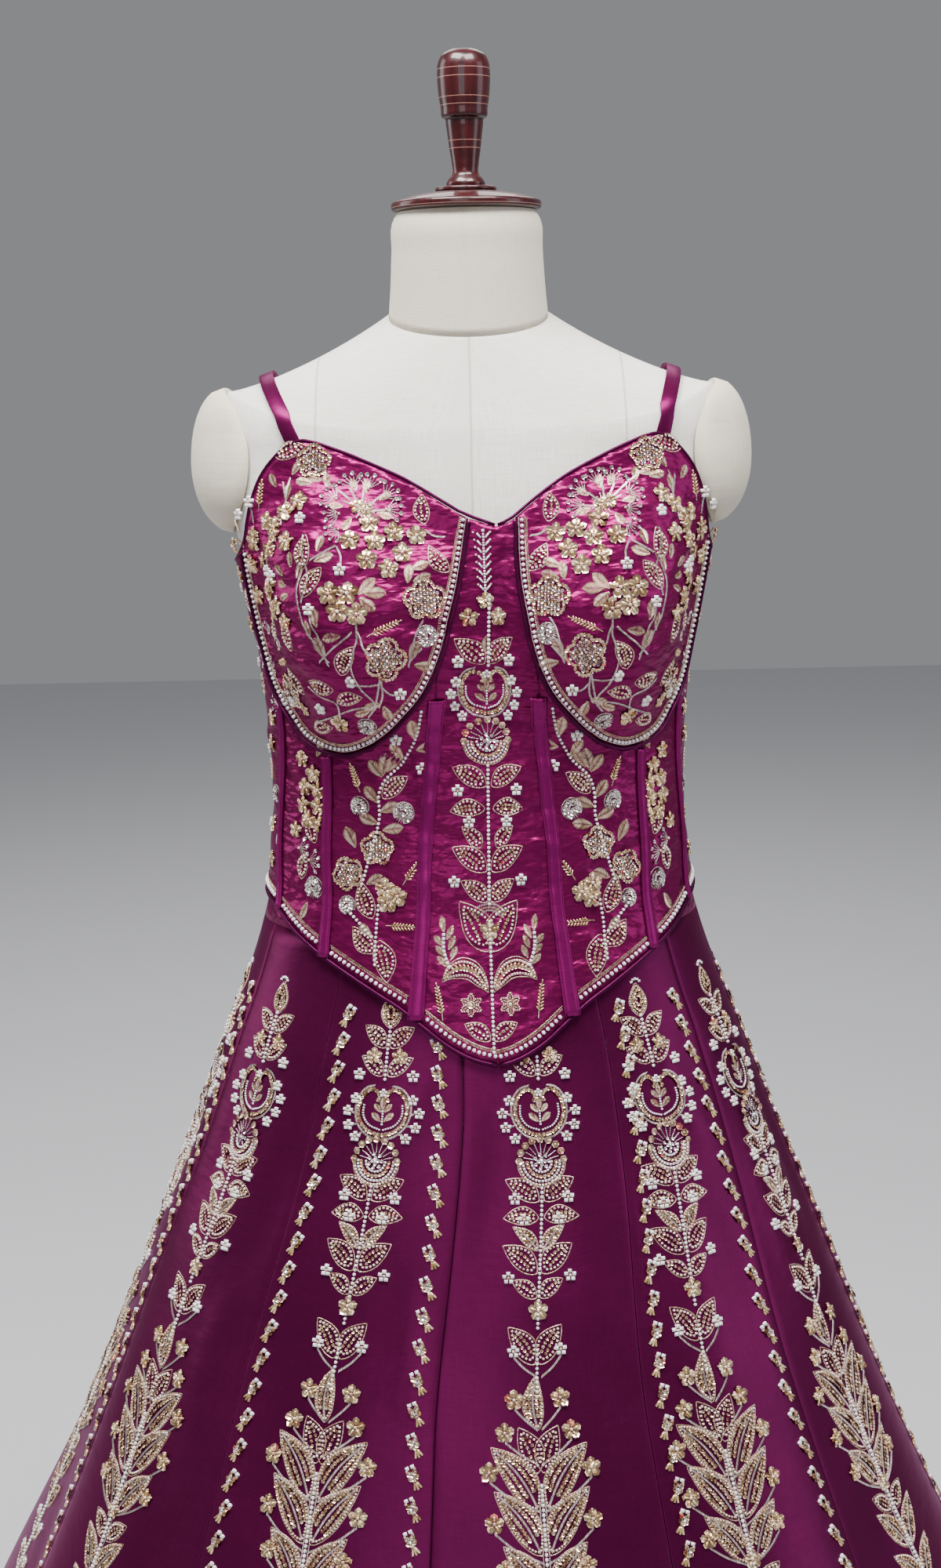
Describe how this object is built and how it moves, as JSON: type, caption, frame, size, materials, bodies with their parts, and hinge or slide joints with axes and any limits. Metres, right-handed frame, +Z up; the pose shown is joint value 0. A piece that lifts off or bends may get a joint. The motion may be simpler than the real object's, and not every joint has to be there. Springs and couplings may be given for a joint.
{
  "type": "lehenga choli on a dress form",
  "caption": "Boned corset choli with shoulder straps and a full-length flared skirt of shaped panels, standing on a limbless dress form with a turned finial and a pole stand.",
  "frame": {"origin": "on the floor, at the centre of the stand's base, under the pole", "axes": "+Z up, -Y towards the front of the garment, +X towards the wearer's left"},
  "size_m": [1.2318, 1.2248, 1.6552],
  "materials": {
    "satin": "heavy silk satin, soft sheen",
    "piping": "darker satin bias piping",
    "canvas": "plain-weave linen canvas stretched over padding",
    "mahogany": "turned wood, dark red stain, glossy lacquer",
    "pole_steel": "satin steel tube"
  },
  "bodies": {
    "root": {"form_torso": "canvas", "form_neck": "canvas", "shoulder_cap_left": "canvas", "shoulder_cap_right": "canvas", "neck_cap": "mahogany", "finial": "mahogany", "pole": "pole_steel", "base": "mahogany", "front_centre": "satin", "front_side_left": "satin", "front_side_right": "satin", "side_front_left": "satin", "side_front_right": "satin", "side_left": "satin", "side_right": "satin", "back_left": "satin", "back_right": "satin", "cup_left": "satin", "cup_right": "satin", "top_piping_left": "piping", "top_piping_right": "piping", "hem_piping_left": "piping", "hem_piping_right": "piping", "cup_piping_left": "piping", "cup_piping_right": "piping", "channel_centre_left": "satin", "channel_centre_right": "satin", "channel_middle_left": "satin", "channel_middle_right": "satin", "channel_side_left": "satin", "channel_side_right": "satin", "strap_left": "satin", "strap_right": "satin", "waistband_front": "satin", "waistband_back": "satin", "kali_01": "satin", "kali_02": "satin", "kali_03": "satin", "kali_04": "satin", "kali_05": "satin", "kali_06": "satin", "kali_07": "satin", "kali_08": "satin", "kali_09": "satin", "kali_10": "satin", "kali_11": "satin", "kali_12": "satin"}
  },
  "joints": []
}
